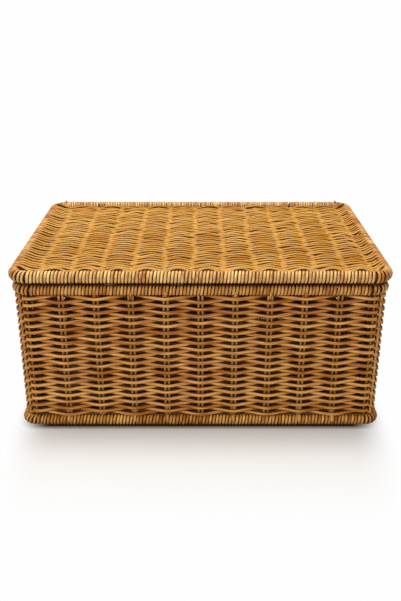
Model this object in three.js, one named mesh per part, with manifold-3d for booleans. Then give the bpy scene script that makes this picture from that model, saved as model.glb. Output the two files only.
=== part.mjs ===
// A woven cane box with a hinged lid, in millimetres, +Z up, front towards -Y.
//
// Three hoops of thick cane, each wrapped closely with thin cane, make the foot, the rim and the edge of
// the lid. Pairs of upright stakes stand between foot and rim, and one cane is worked back and forth in
// front of and behind them to make each wall. The lid and the base are woven the same way over flat ribs
// that run from front to back. At the back the wrapping leaves two short lengths of hoop bare, where a
// lashing of cane goes round the hoops of rim and lid: the lid turns in these two lashings.
import * as THREE from 'three';
import { mergeVertices } from 'three/addons/utils/BufferGeometryUtils.js';
import Module from 'manifold-3d';

const wasm = await Module();
wasm.setup();

// Overall size
const LID_LENGTH = 400;
const LID_DEPTH = 308;
const HEIGHT = 178;
const LID_OVERHANG = 1.9;
const FOOT_INSET = 3.1;
const WALL_LEAN = 3;

// The three wrapped hoops
const LID_BAR_RADIUS = 6.8;
const RIM_BAR_RADIUS = 6.5;
const FOOT_BAR_RADIUS = 5.6;
const WRAP_THICKNESS = 2.9;
const BAR_CORNER_RADIUS = 22.5;
const CORNER_STEPS = 3;
const BAR_SIDES = 12;
const HOOP_SIDES = 6;

// Running and resting clearances
const FIT = 0.3;
const SEAT_GAP = 0.5;
const PANEL_GAP = 0.5;

// Upright stakes, in pairs
const STAKE = 2.6;
const STAKE_SPACING = 4.2;
const STAKES_INSIDE_RIM = 1;
const FRONT_PAIRS = 9;
const SIDE_PAIRS = 7;
const WALL_CORNER_RADIUS = 16;

// The cane of the walls
const WALL_CANE_WIDTH = 3.2;
const WALL_CANE_HEIGHT = 3.5;
const WALL_ROW_PITCH = 4.5;

// Flat ribs and the cane of the lid. The first and last rib stand this far from the hoop's left and
// right ends.
const LID_RIBS = 11;
const LID_FIRST_RIB = 42;
const LID_LAST_RIB = 24.4;
const LID_RIB_WIDTH = 4;
const RIB_THICKNESS = 2.4;
const LID_CANE_WIDTH = 3;
const LID_CANE_HEIGHT = 6.8;
const LID_ROW_PITCH = 7.8;

// Flat ribs and the cane of the base
const BASE_RIBS = 5;
const BASE_END_RIB = 69.4;
const BASE_RIB_WIDTH = 8;
const BASE_CANE_WIDTH = 2.2;
const BASE_CANE_HEIGHT = 14;
const BASE_ROW_PITCH = 15.8;

// The cane lashings that hinge the lid
const LASHING_TURNS = 3;
const LASHING_WIDTH = 3;
const LASHING_THICKNESS = 1.8;
const LASHING_STEPS = 4;
const LASHING_PLACE = 125;

// How a cane turns back: how far the outside of a bend may reach, in cane widths, and how far a flat
// row still stands off the middle at its end, as a share of its height over a rib
const MITRE_LIMIT = 1.5;
const END_SHARE = 0.3;

const COLOURS = {
  lidWrap: 0xd9a860,
  rimWrap: 0xbe8440,
  footWrap: 0xb47836,
  core: 0x7a4a20,
  stake: 0xd2a05a,
  wall: 0xb97a36,
  lid: 0xc98f45,
  base: 0xb27a3a,
  lashing: 0xc58a44,
};

// Places worked out from the sizes
const lidZ = HEIGHT - LID_BAR_RADIUS;
const rimZ = lidZ - LID_BAR_RADIUS - SEAT_GAP - RIM_BAR_RADIUS;
const footZ = FOOT_BAR_RADIUS;
const lidBar = barPath(0, LID_BAR_RADIUS);
const rimBar = barPath(LID_OVERHANG, RIM_BAR_RADIUS);
const footBar = barPath(LID_OVERHANG + FOOT_INSET, FOOT_BAR_RADIUS);
const wall = {
  halfX: rimBar.halfX - STAKES_INSIDE_RIM,
  halfY: rimBar.halfY - STAKES_INSIDE_RIM,
};
const stakesInsideFoot = footBar.halfX - wall.halfX + WALL_LEAN;
wall.bottom = footZ + barHeight(FOOT_BAR_RADIUS, stakesInsideFoot - STAKE / 2) + FIT;
wall.top = rimZ - barHeight(RIM_BAR_RADIUS, STAKES_INSIDE_RIM - STAKE / 2) - FIT;
const weaveBottom = wall.bottom + STAKE + FIT;
const weaveTop = rimZ - RIM_BAR_RADIUS - FIT;
const lashingHalf = (LASHING_TURNS * (LASHING_WIDTH + FIT) + LASHING_WIDTH) / 2;

// Centre line of a hoop whose bar of this radius lies this far inside the edge of the lid.
function barPath(inset, radius) {
  return {
    halfX: LID_LENGTH / 2 - inset - radius,
    halfY: LID_DEPTH / 2 - inset - radius,
    corner: BAR_CORNER_RADIUS - radius,
    radius,
  };
}

// Distance from the middle to the corners of a regular outline with this distance to its flats.
function roundCorner(flat, sides) {
  return flat / Math.cos(Math.PI / sides);
}

// How far a bar reaches up or down at this distance from its centre line.
function barHeight(radius, offset) {
  return Math.sqrt(Math.max(roundCorner(radius, BAR_SIDES) ** 2 - offset ** 2, 0));
}

// Outline points of a regular bar section, from one angle to another in steps of one side.
function sectionArc(flat, sides, fromDegrees, count, direction = 1) {
  const reach = roundCorner(flat, sides);
  return Array.from({ length: count }, (_, i) => {
    const angle = THREE.MathUtils.degToRad(fromDegrees + (direction * i * 360) / sides);
    return [reach * Math.cos(angle), reach * Math.sin(angle)];
  });
}

// Distance from the middle of a hoop's solid cane to its flats, inside the wrapping.
function hoopFlat(radius) {
  return radius - WRAP_THICKNESS - FIT;
}

// The closed section of a hoop of solid cane.
function hoopSection(radius) {
  return sectionArc(hoopFlat(radius), HOOP_SIDES, 30, HOOP_SIDES);
}

// The section of the wrapping round a hoop: a ring with a slot on its inner side, where ribs come in.
function wrappingSection(radius) {
  return [
    ...sectionArc(radius, BAR_SIDES, -165, BAR_SIDES),
    ...sectionArc(radius - WRAP_THICKNESS, HOOP_SIDES, 150, HOOP_SIDES, -1),
  ];
}

// Stations round a rounded rectangle, each with its point and outward direction.
function ringStations({ halfX, halfY, corner }) {
  const stations = [];
  for (let quarter = 0; quarter < 4; quarter++) {
    const right = quarter === 0 || quarter === 3 ? 1 : -1;
    const back = quarter < 2 ? 1 : -1;
    for (let step = 0; step <= CORNER_STEPS; step++) {
      const angle = (quarter + step / CORNER_STEPS) * (Math.PI / 2);
      const out = new THREE.Vector2(Math.cos(angle), Math.sin(angle));
      const point = new THREE.Vector2(right * (halfX - corner), back * (halfY - corner));
      stations.push({ point: point.addScaledVector(out, corner), out });
    }
  }
  return stations;
}

// Triangles that close a section, each turned the way the section's outline runs.
function capFaces(section) {
  const contour = section.map(([x, y]) => new THREE.Vector2(x, y));
  const turn = Math.sign(THREE.ShapeUtils.area(contour));
  return THREE.ShapeUtils.triangulateShape(contour, []).map(([a, b, c]) =>
    (Math.sign(THREE.ShapeUtils.area([contour[a], contour[b], contour[c]])) === turn ? [a, b, c] : [a, c, b]));
}

// Joins rings of points, all of one section, into one closed skin whose faces point out.
function skin(rings, section, closed) {
  const count = section.length;
  const faces = [];
  const spans = closed ? rings.length : rings.length - 1;
  for (let i = 0; i < spans; i++) {
    const a = i * count;
    const b = ((i + 1) % rings.length) * count;
    for (let j = 0; j < count; j++) {
      const next = (j + 1) % count;
      faces.push(a + j, b + j, b + next, a + j, b + next, a + next);
    }
  }
  if (!closed) {
    const last = (rings.length - 1) * count;
    for (const [a, b, c] of capFaces(section)) {
      faces.push(a, b, c, last + a, last + c, last + b);
    }
  }
  return outward(rings.flat(), faces);
}

// A geometry from points and faces, turned inside out if its volume comes out negative.
function outward(points, faces) {
  let volume = 0;
  for (let i = 0; i < faces.length; i += 3) {
    const [a, b, c] = [points[faces[i]], points[faces[i + 1]], points[faces[i + 2]]];
    volume += a.dot(new THREE.Vector3().crossVectors(b, c));
  }
  const geometry = new THREE.BufferGeometry().setFromPoints(points);
  geometry.setIndex(volume < 0 ? [...faces].reverse() : faces);
  return geometry;
}

// A bar of this section along stations at one height, right round or open at its ends.
function barSolid(stations, z, section, closed) {
  const rings = stations.map(({ point, out }) =>
    section.map(([side, up]) =>
      new THREE.Vector3(point.x + out.x * side, point.y + out.y * side, z + up)));
  return skin(rings, section, closed);
}

// A hoop of solid cane, right round.
function hoopSolid(path, z) {
  return barSolid(ringStations(path), z, hoopSection(path.radius), true);
}

// The wrapping of a hoop in two lengths, between the lashings at the back: the long one goes round by
// the front, and the short one lies between the two lashings.
function wrappingSolids(path, z, leftX, rightX) {
  const back = (x) => ({ point: new THREE.Vector2(x, path.halfY), out: new THREE.Vector2(0, 1) });
  const ring = ringStations(path);
  const cornerStations = CORNER_STEPS + 1;
  const round = [...ring.slice(cornerStations), ...ring.slice(0, cornerStations)];
  const bare = lashingHalf + FIT;
  const section = wrappingSection(path.radius);
  return {
    long: barSolid([back(leftX - bare), ...round, back(rightX + bare)], z, section, false),
    short: barSolid([back(rightX - bare), back(leftX + bare)], z, section, false),
  };
}

// A cane along points. Its section is drawn across the way it runs (side) and along one fixed direction
// (up). The inside of a bend keeps its full mitre, and the outside is cut short at MITRE_LIMIT.
function caneSolid(points, up, section) {
  const rings = points.map((point, i) => {
    const before = new THREE.Vector3().subVectors(point, points[Math.max(i - 1, 0)]);
    const after = new THREE.Vector3().subVectors(points[Math.min(i + 1, points.length - 1)], point);
    if (i === 0) before.copy(after);
    if (i === points.length - 1) after.copy(before);
    const [into, onward] = [before, after].map((v) => v.addScaledVector(up, -v.dot(up)).normalize());
    const along = new THREE.Vector3().addVectors(into, onward).normalize();
    const side = new THREE.Vector3().crossVectors(along, up).normalize();
    const mitre = 1 / along.dot(into);
    const inner = Math.sign(new THREE.Vector3().subVectors(onward, into).dot(side));
    return section.map(([across, rise]) => {
      const stretch = Math.sign(across) === inner ? mitre : Math.min(mitre, MITRE_LIMIT);
      return point.clone().addScaledVector(side, across * stretch).addScaledVector(up, rise);
    });
  });
  return skin(rings, section, false);
}

// The three-sided section of a weaving cane: full width at its lower edge, a ridge along the upper one.
function caneSection(width, height) {
  return [[-width / 2, -height / 2], [width / 2, -height / 2], [0, height / 2]];
}

// Points of one cane worked back and forth: it passes column after column on alternate sides, and each
// row takes the other side from the row before. place(column, side, row) gives a point.
function backAndForth(rows, columns, place) {
  const points = [];
  for (let row = 0; row < rows; row++) {
    for (let step = 0; step < columns; step++) {
      const column = row % 2 ? columns - 1 - step : step;
      points.push(place(column, (column + row) % 2 ? -1 : 1, row));
    }
  }
  return points;
}

// How far a cane stands off the middle of what it passes, so that it clears it across its whole span.
// A cane that slants across the weave is wider there, by the slant.
function bulge(thickness, span, pitch, caneWidth) {
  const share = 1 - span / pitch;
  const level = (thickness / 2 + FIT + caneWidth / 2) / share;
  const slant = Math.hypot(1, (2 * level) / pitch);
  return (thickness / 2 + FIT + (caneWidth / 2) * slant) / share;
}

// Evenly spaced places from -reach to reach.
function spread(count, reach) {
  return Array.from({ length: count }, (_, i) => -reach + (2 * reach * i) / (count - 1));
}

// The corner of a wall, seen from the wall that runs along its first number: the middle of the corner
// arc, the stake that stands on the arc, and the line beside the diagonal where the cane turns back.
function wallCorner(halfAlong, halfAcross) {
  const middle = new THREE.Vector2(halfAlong - WALL_CORNER_RADIUS, halfAcross - WALL_CORNER_RADIUS);
  const turnLine = (WALL_CANE_WIDTH + PANEL_GAP) / 2;
  const clear = WALL_CANE_WIDTH / 2 + FIT + STAKE / Math.SQRT2;
  const angle = Math.PI / 4 - Math.asin((turnLine + clear) / WALL_CORNER_RADIUS);
  const stake = new THREE.Vector2(Math.sin(angle), Math.cos(angle))
    .multiplyScalar(WALL_CORNER_RADIUS).add(middle);
  return { middle, turnLine, clear, stake, arc: angle * WALL_CORNER_RADIUS };
}

// Where a cane that comes from this point, and passes the corner stake on this side, turns back.
function turnPoint(from, corner, side) {
  const toStake = corner.stake.clone().sub(from);
  const angle = toStake.angle() + side * Math.asin(corner.clear / toStake.length());
  const along = new THREE.Vector2(Math.cos(angle), Math.sin(angle));
  const offDiagonal = new THREE.Vector2(-1, 1).multiplyScalar(Math.SQRT1_2);
  const start = from.clone().sub(corner.middle).dot(offDiagonal);
  return from.clone().addScaledVector(along, (corner.turnLine - start) / along.dot(offDiagonal));
}

// Moves a point of the upright wall in towards the middle, more the lower it is, because the box
// narrows to its foot.
function lean(geometry) {
  const at = geometry.attributes.position;
  for (let i = 0; i < at.count; i++) {
    const inward = (WALL_LEAN * (rimZ - at.getZ(i))) / (rimZ - footZ);
    at.setX(i, at.getX(i) * (1 - inward / wall.halfX));
    at.setY(i, at.getY(i) * (1 - inward / wall.halfY));
  }
  return geometry;
}

// Two stakes from one cane bent double: two legs up from a bend at the foot, standing in this plane.
function stakePair(spacing) {
  const outer = (spacing + STAKE) / 2;
  const inner = (spacing - STAKE) / 2;
  const [foot, bend, top] = [wall.bottom, wall.bottom + STAKE, wall.top];
  const outline = new THREE.Shape([
    [-outer, foot], [outer, foot], [outer, top], [inner, top],
    [inner, bend], [-inner, bend], [-inner, top], [-outer, top],
  ].map(([x, z]) => new THREE.Vector2(x, z)));
  const geometry = new THREE.ExtrudeGeometry(outline, { depth: STAKE, bevelEnabled: false, steps: 1 });
  return geometry.translate(0, 0, -STAKE / 2).rotateX(Math.PI / 2);
}

// A wall is drawn along +X with its outside towards +Y, then turned to its side of the box.
const WALLS = [
  { name: 'back', pairs: FRONT_PAIRS, along: wall.halfX, across: wall.halfY, turn: 0 },
  { name: 'left', pairs: SIDE_PAIRS, along: wall.halfY, across: wall.halfX, turn: Math.PI / 2 },
  { name: 'front', pairs: FRONT_PAIRS, along: wall.halfX, across: wall.halfY, turn: Math.PI },
  { name: 'right', pairs: SIDE_PAIRS, along: wall.halfY, across: wall.halfX, turn: -Math.PI / 2 },
];

// Places of the stake pairs along a wall: evenly spaced between the stakes at its two corners.
function pairPlaces({ pairs, along, across }) {
  const corner = wallCorner(along, across);
  const reach = along - WALL_CORNER_RADIUS + corner.arc;
  return { corner, pitch: (2 * reach) / (pairs + 1), places: spread(pairs + 2, reach).slice(1, -1) };
}

// One wall: a cane worked back and forth between two corners.
function wallWeave(side) {
  const { corner, pitch, places } = pairPlaces(side);
  const off = bulge(STAKE, STAKE_SPACING + STAKE, pitch, WALL_CANE_WIDTH);
  const rows = Math.floor((weaveTop - weaveBottom - WALL_CANE_HEIGHT) / WALL_ROW_PITCH) + 1;
  const rise = (weaveTop - weaveBottom - WALL_CANE_HEIGHT) / (rows - 1);
  const last = places.length + 1;
  const place = (column, face, row) => {
    const z = weaveBottom + WALL_CANE_HEIGHT / 2 + row * rise;
    if (column > 0 && column < last) {
      return new THREE.Vector3(places[column - 1], side.across + face * off, z);
    }
    const from = new THREE.Vector2(places[places.length - 1], side.across - face * off);
    const turn = turnPoint(from, corner, face);
    return new THREE.Vector3(column ? turn.x : -turn.x, turn.y, z);
  };
  const points = backAndForth(rows, last + 1, place);
  const section = caneSection(WALL_CANE_WIDTH, WALL_CANE_HEIGHT);
  return caneSolid(points, new THREE.Vector3(0, 0, 1), section).rotateZ(side.turn);
}

// Length of a row at this place inside a hoop with rounded corners.
function rowReach(path, inset, y) {
  const radius = Math.max(path.corner - inset, 0);
  const past = Math.max(Math.abs(y) - (path.halfY - inset - radius), 0);
  return path.halfX - inset - radius + Math.sqrt(Math.max(radius * radius - past * past, 0));
}

// A flat panel woven over ribs inside a hoop: a cane worked left and right, from front to back.
function flatWeave({ path, z, ribs, ribWidth, width, height, pitch, edge }) {
  const turnRoom = path.radius + FIT + (width / 2) * MITRE_LIMIT;
  const reach = path.halfY - edge - height / 2;
  const shortest = rowReach(path, turnRoom, path.halfY - edge);
  const endBay = Math.min(shortest + ribs[0], shortest - ribs[ribs.length - 1]);
  const steepest = Math.min(ribs[1] - ribs[0], (2 * endBay) / (1 + END_SHARE));
  const off = bulge(RIB_THICKNESS, ribWidth, steepest, width);
  const rows = Math.floor((2 * reach) / pitch) + 1;
  const places = spread(rows, reach);
  const last = ribs.length + 1;
  const place = (column, face, row) => {
    const y = places[row];
    if (column > 0 && column < last) return new THREE.Vector3(ribs[column - 1], y, z + face * off);
    const joined = (row % 2 === 0) === (column === last) ? row + 1 : row - 1;
    const outermost = Math.max(Math.abs(y), Math.abs(places[joined] ?? y)) + height / 2;
    const end = rowReach(path, turnRoom, outermost);
    return new THREE.Vector3(column ? end : -end, y, z + face * off * END_SHARE);
  };
  const points = backAndForth(rows, last + 1, place);
  return caneSolid(points, new THREE.Vector3(0, 1, 0), caneSection(width, height));
}

// Turns a closed geometry into a solid that can be joined.
function toSolid(geometry) {
  const bare = geometry.clone();
  bare.deleteAttribute('normal');
  bare.deleteAttribute('uv');
  const merged = mergeVertices(bare, 1e-4);
  return new wasm.Manifold(new wasm.Mesh({
    numProp: 3,
    vertProperties: new Float32Array(merged.attributes.position.array),
    triVerts: new Uint32Array(merged.index.array),
  }));
}

// Evenly spaced places for ribs inside a hoop. The first and the last stand this far from the middle of
// the bar at the hoop's left and right ends.
function ribPlaces(path, count, first, last) {
  const pitch = (2 * path.halfX - first - last) / (count - 1);
  return Array.from({ length: count }, (_, i) => first - path.halfX + i * pitch);
}

// A hoop with flat ribs let into it from front to back.
function ribbedHoop(path, z, ribs, ribWidth) {
  let frame = toSolid(hoopSolid(path, z));
  for (const x of ribs) {
    const rib = new THREE.BoxGeometry(ribWidth, 2 * path.halfY, RIB_THICKNESS).translate(x, 0, z);
    frame = frame.add(toSolid(rib));
  }
  const mesh = frame.getMesh();
  const geometry = new THREE.BufferGeometry();
  geometry.setAttribute('position', new THREE.BufferAttribute(mesh.vertProperties, 3));
  geometry.setIndex(new THREE.BufferAttribute(mesh.triVerts, 1));
  return geometry;
}

// How far the outside of a lashing reaches from the middle of the hoop it goes round.
function lashingReach(radius) {
  const clear = roundCorner(hoopFlat(radius), HOOP_SIDES) + FIT;
  return (clear + LASHING_THICKNESS) / Math.cos(Math.PI / (2 * LASHING_STEPS));
}

// One lashing: a flat cane wound round the bare hoops of rim and lid at the back, from left to right.
function lashing(x) {
  const lid = { y: lidBar.halfY, z: lidZ, reach: lashingReach(LID_BAR_RADIUS) };
  const rim = { y: rimBar.halfY, z: rimZ, reach: lashingReach(RIM_BAR_RADIUS) };
  const stepsPerTurn = 2 * (LASHING_STEPS + 1);
  const advance = (LASHING_WIDTH + FIT) / stepsPerTurn;
  const count = LASHING_TURNS * stepsPerTurn;
  const points = Array.from({ length: count }, (_, i) => {
    const step = i % stepsPerTurn;
    const overLid = step > LASHING_STEPS;
    const bar = overLid ? lid : rim;
    const angle = Math.PI + (step - (overLid ? 1 : 0)) * (Math.PI / LASHING_STEPS);
    const reach = bar.reach - LASHING_THICKNESS / 2;
    return new THREE.Vector3(
      x + (i - (count - 1) / 2) * advance,
      bar.y + reach * Math.cos(angle),
      bar.z + reach * Math.sin(angle),
    );
  });
  const [half, thick] = [LASHING_WIDTH / 2, LASHING_THICKNESS / 2];
  const section = [[-thick, -half], [thick, -half], [thick, half], [-thick, half]];
  return caneSolid(points, new THREE.Vector3(1, 0, 0), section);
}

// The middle of the clear space nearest to this place along the back, between stake pairs and lid ribs,
// that is wide enough for a lashing.
function clearPlace(wanted) {
  const posts = [
    ...pairPlaces(WALLS[0]).places.map((x) => ({ x, half: (STAKE_SPACING + STAKE) / 2 })),
    ...lidRibs.map((x) => ({ x, half: LID_RIB_WIDTH / 2 })),
  ].sort((a, b) => a.x - b.x);
  const middles = [];
  for (let i = 1; i < posts.length; i++) {
    const [from, to] = [posts[i - 1].x + posts[i - 1].half, posts[i].x - posts[i].half];
    if (to - from > 2 * (lashingHalf + FIT)) middles.push((from + to) / 2);
  }
  return middles.reduce((best, x) => (Math.abs(x - wanted) < Math.abs(best - wanted) ? x : best));
}

// A named piece with a material of its own.
function piece(group, name, geometry, color, roughness = 0.6) {
  const material = new THREE.MeshStandardMaterial({ color, roughness, metalness: 0, flatShading: true });
  const mesh = new THREE.Mesh(geometry, material);
  mesh.name = name;
  group.add(mesh);
}

const lidRibs = ribPlaces(lidBar, LID_RIBS, LID_FIRST_RIB, LID_LAST_RIB);
const baseRibs = ribPlaces(footBar, BASE_RIBS, BASE_END_RIB, BASE_END_RIB);

const basket = new THREE.Group();
const lid = new THREE.Group();
const box = new THREE.Group();
box.add(basket, lid);

// Foot and base
piece(basket, 'base_frame', ribbedHoop(footBar, footZ, baseRibs, BASE_RIB_WIDTH), COLOURS.core);
const footSection = wrappingSection(FOOT_BAR_RADIUS);
piece(basket, 'foot_wrapping', barSolid(ringStations(footBar), footZ, footSection, true), COLOURS.footWrap);
piece(basket, 'base_weave', flatWeave({
  path: footBar,
  z: footZ,
  ribs: baseRibs,
  ribWidth: BASE_RIB_WIDTH,
  width: BASE_CANE_WIDTH,
  height: BASE_CANE_HEIGHT,
  pitch: BASE_ROW_PITCH,
  edge: FOOT_BAR_RADIUS + FIT,
}), COLOURS.base);

// Rim
const lashingLeft = clearPlace(-LASHING_PLACE);
const lashingRight = clearPlace(LASHING_PLACE);
const rimWrapping = wrappingSolids(rimBar, rimZ, lashingLeft, lashingRight);
piece(basket, 'rim_hoop', hoopSolid(rimBar, rimZ), COLOURS.core);
piece(basket, 'rim_wrapping', rimWrapping.long, COLOURS.rimWrap);
piece(basket, 'rim_wrapping_back', rimWrapping.short, COLOURS.rimWrap);

// Walls: stake pairs first, then the weave between and round them
for (const side of WALLS) {
  pairPlaces(side).places.forEach((x, i) => {
    const pair = stakePair(STAKE_SPACING).translate(x, side.across, 0).rotateZ(side.turn);
    piece(basket, `${side.name}_stakes_${i + 1}`, lean(pair), COLOURS.stake);
  });
  piece(basket, `${side.name}_weave`, lean(wallWeave(side)), COLOURS.wall);
}

// Corners: one pair astride each corner
const CORNERS = [
  { name: 'back_right', x: 1, y: 1 },
  { name: 'back_left', x: -1, y: 1 },
  { name: 'front_left', x: -1, y: -1 },
  { name: 'front_right', x: 1, y: -1 },
];
for (const { name, x, y } of CORNERS) {
  const { middle, turnLine, clear } = wallCorner(wall.halfX, wall.halfY);
  const apart = 2 * (turnLine + clear);
  const out = Math.sqrt(WALL_CORNER_RADIUS ** 2 - (apart / 2) ** 2) * Math.SQRT1_2;
  const pair = stakePair(apart)
    .rotateZ((-x * y * Math.PI) / 4)
    .translate(x * (middle.x + out), y * (middle.y + out), 0);
  piece(basket, `corner_stakes_${name}`, lean(pair), COLOURS.stake);
}

// Hinge lashings
piece(basket, 'hinge_lashing_left', lashing(lashingLeft), COLOURS.lashing);
piece(basket, 'hinge_lashing_right', lashing(lashingRight), COLOURS.lashing);

// Lid, with its weave clear of the lashings, which stand upright between lid and rim
const lidWrapping = wrappingSolids(lidBar, lidZ, lashingLeft, lashingRight);
piece(lid, 'lid_frame', ribbedHoop(lidBar, lidZ, lidRibs, LID_RIB_WIDTH), COLOURS.core);
piece(lid, 'lid_wrapping', lidWrapping.long, COLOURS.lidWrap);
piece(lid, 'lid_wrapping_back', lidWrapping.short, COLOURS.lidWrap);
piece(lid, 'lid_weave', flatWeave({
  path: lidBar,
  z: lidZ,
  ribs: lidRibs,
  ribWidth: LID_RIB_WIDTH,
  width: LID_CANE_WIDTH,
  height: LID_CANE_HEIGHT,
  pitch: LID_ROW_PITCH,
  edge: lidBar.halfY - rimBar.halfY + lashingReach(RIM_BAR_RADIUS) + FIT,
}), COLOURS.lid);

// The origin is the middle of the footprint, lashings included, on the surface it stands on
const bounds = new THREE.Box3().setFromObject(box);
box.position.set(-(bounds.min.x + bounds.max.x) / 2, -(bounds.min.y + bounds.max.y) / 2, 0);

export default box;
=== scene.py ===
# %% [markdown]
# # A woven cane box with a hinged lid
#
# Everything you see on this box is thin rattan cane. It is wound closely round three hoops, stood upright
# as stakes, woven round those stakes for the walls, and woven over ribs for lid and base. So the lesson
# builds one good strand first, and then sends it along different paths.
#
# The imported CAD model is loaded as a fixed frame. Sizes and places are measured on its parts, and the
# new pieces take the place of those parts.

# %% Load the frame
import math

import bpy
import numpy as np
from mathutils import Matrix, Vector


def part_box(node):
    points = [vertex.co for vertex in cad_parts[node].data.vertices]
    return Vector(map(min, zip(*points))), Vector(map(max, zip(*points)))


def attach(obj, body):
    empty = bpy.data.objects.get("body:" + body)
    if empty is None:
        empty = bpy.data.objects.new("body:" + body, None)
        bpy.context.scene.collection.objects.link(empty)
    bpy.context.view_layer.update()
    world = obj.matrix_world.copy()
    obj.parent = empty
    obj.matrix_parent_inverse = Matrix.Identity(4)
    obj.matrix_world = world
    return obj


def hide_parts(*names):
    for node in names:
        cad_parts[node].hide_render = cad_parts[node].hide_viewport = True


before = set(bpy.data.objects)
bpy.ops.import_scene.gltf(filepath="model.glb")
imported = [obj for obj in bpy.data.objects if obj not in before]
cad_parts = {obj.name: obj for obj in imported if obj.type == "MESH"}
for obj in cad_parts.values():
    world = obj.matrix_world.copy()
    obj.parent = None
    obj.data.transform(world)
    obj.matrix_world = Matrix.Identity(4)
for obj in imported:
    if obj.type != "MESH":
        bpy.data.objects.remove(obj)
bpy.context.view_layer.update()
scene = bpy.context.scene

# %% [markdown]
# ## The camera
#
# The photograph looks down on the middle of the front at about twenty degrees. How fast the lid narrows
# towards the back gives the camera's distance, and the rim's width in the picture then gives the lens. A
# camera in Blender looks straight down until it is turned up.

# %% Camera
CAMERA_PLACE = (0.0, -0.9694, 0.4511)
CAMERA_PITCH = math.radians(20.38)
CAMERA_LENS = 50.8
SENSOR = 36.0


def new_object(name, data):
    """An object in the scene with this data."""
    made = bpy.data.objects.new(name, data)
    scene.collection.objects.link(made)
    return made


camera = new_object("camera", bpy.data.cameras.new("camera"))
camera.data.lens = CAMERA_LENS
camera.data.sensor_width = SENSOR
camera.location = CAMERA_PLACE
camera.rotation_euler = (math.pi / 2 - CAMERA_PITCH, 0, 0)
scene.camera = camera
print("camera at", CAMERA_PLACE, "with a lens of", CAMERA_LENS, "mm")

# %% [markdown]
# ## Sums that make nodes
#
# Materials and geometry are both made of nodes here, and most of the nodes do sums. They are easiest to
# read when a sum in the code looks like a sum. So a node's output is wrapped in a `Value`, and adding or
# multiplying two values adds the maths node that does it. `add` makes any node.

# %% Values, and the nodes that do sums on them
class Value:
    """One output of a node. A sum with it adds a maths node, for vectors or for plain numbers."""

    def __init__(self, socket):
        self.socket = socket
        self.is_vector = socket.type == "VECTOR"
        self.sum = vectors if self.is_vector else maths

    def __add__(self, other):
        return self.sum("ADD", self, other)

    def __sub__(self, other):
        return self.sum("SUBTRACT", self, other)

    def __rsub__(self, other):
        return self.sum("SUBTRACT", other, self)

    def __mul__(self, other):
        return self.sum("MULTIPLY", self, other)

    def __truediv__(self, other):
        return maths("DIVIDE", self, other)

    def __pow__(self, other):
        return maths("POWER", self, other)

    def __abs__(self):
        return maths("ABSOLUTE", self)


def add(tree, kind, inputs=None, out=0, **options):
    """Adds a node, sets its options, then its inputs by name or number. Gives one output or several."""
    node = tree.nodes.new(kind)
    for option, value in options.items():
        setattr(node, option, value)
    for key, value in (inputs or {}).items():
        if isinstance(value, Value):
            tree.links.new(value.socket, node.inputs[key])
        else:
            node.inputs[key].default_value = value
    if isinstance(out, tuple):
        return [Value(node.outputs[key]) for key in out]
    return Value(node.outputs[out]) if len(node.outputs) else None


def tree_of(*values):
    """The tree that the first node's output among these belongs to."""
    return next(value.socket.id_data for value in values if isinstance(value, Value))


def maths(operation, *values):
    """One sum on plain numbers."""
    return add(tree_of(*values), "ShaderNodeMath", dict(enumerate(values)), operation=operation)


def vectors(operation, *values):
    """One sum on vectors. Two of the operations give a plain number."""
    out = "Value" if operation in ("DOT_PRODUCT", "LENGTH") else "Vector"
    return add(tree_of(*values), "ShaderNodeVectorMath", dict(enumerate(values)), out, operation=operation)


# %% [markdown]
# A few more nodes come up again and again. One of them, the Mix node, has separate sockets for numbers,
# vectors and colours, and a table lists them.

# %% Helpers for nodes that come up often
def vector(x=0.0, y=0.0, z=0.0):
    """A vector from up to three values."""
    return add(tree_of(x, y, z), "ShaderNodeCombineXYZ", {0: x, 1: y, 2: z})


def split(value):
    """The three parts of a vector."""
    return add(tree_of(value), "ShaderNodeSeparateXYZ", {0: value}, (0, 1, 2))


def ramp(value, low, high, to_low=0.0, to_high=1.0, **options):
    """Maps a value from one range to another, and stops at both ends."""
    inputs = {0: value, 1: low, 2: high, 3: to_low, 4: to_high}
    return add(tree_of(value), "ShaderNodeMapRange", inputs, clamp=True, **options)


def noise(place, scale, detail=2.0):
    """Smooth noise between 0 and 1 at the given scale."""
    return add(tree_of(place), "ShaderNodeTexNoise", {"Vector": place, "Scale": scale, "Detail": detail})


MIX_SOCKETS = {"FLOAT": (2, 0), "VECTOR": (4, 1), "RGBA": (6, 2)}


def mix(factor, low, high, kind="FLOAT"):
    """Goes from the low value to the high one as the factor goes from 0 to 1."""
    first, out = MIX_SOCKETS[kind]
    inputs = {0: factor, first: low, first + 1: high}
    return add(tree_of(factor, low, high), "ShaderNodeMix", inputs, out, data_type=kind)


SOCKETS = {tuple: "NodeSocketColor", float: "NodeSocketFloat", int: "NodeSocketInt"}


def new_inputs(tree, defaults):
    """Gives a group an input for each name and default value."""
    for title, default in defaults.items():
        kind = SOCKETS[type(default)]
        tree.interface.new_socket(title, in_out="INPUT", socket_type=kind).default_value = default


def given_to(tree):
    """What comes into a group, by its names."""
    sockets = tree.nodes.new("NodeGroupInput").outputs
    return {socket.name: Value(socket) for socket in sockets if socket.name}


def empty_tree(owner):
    """The node tree of a material or a world, with nothing in it."""
    owner.use_nodes = True
    owner.node_tree.nodes.clear()
    return owner.node_tree
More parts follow.
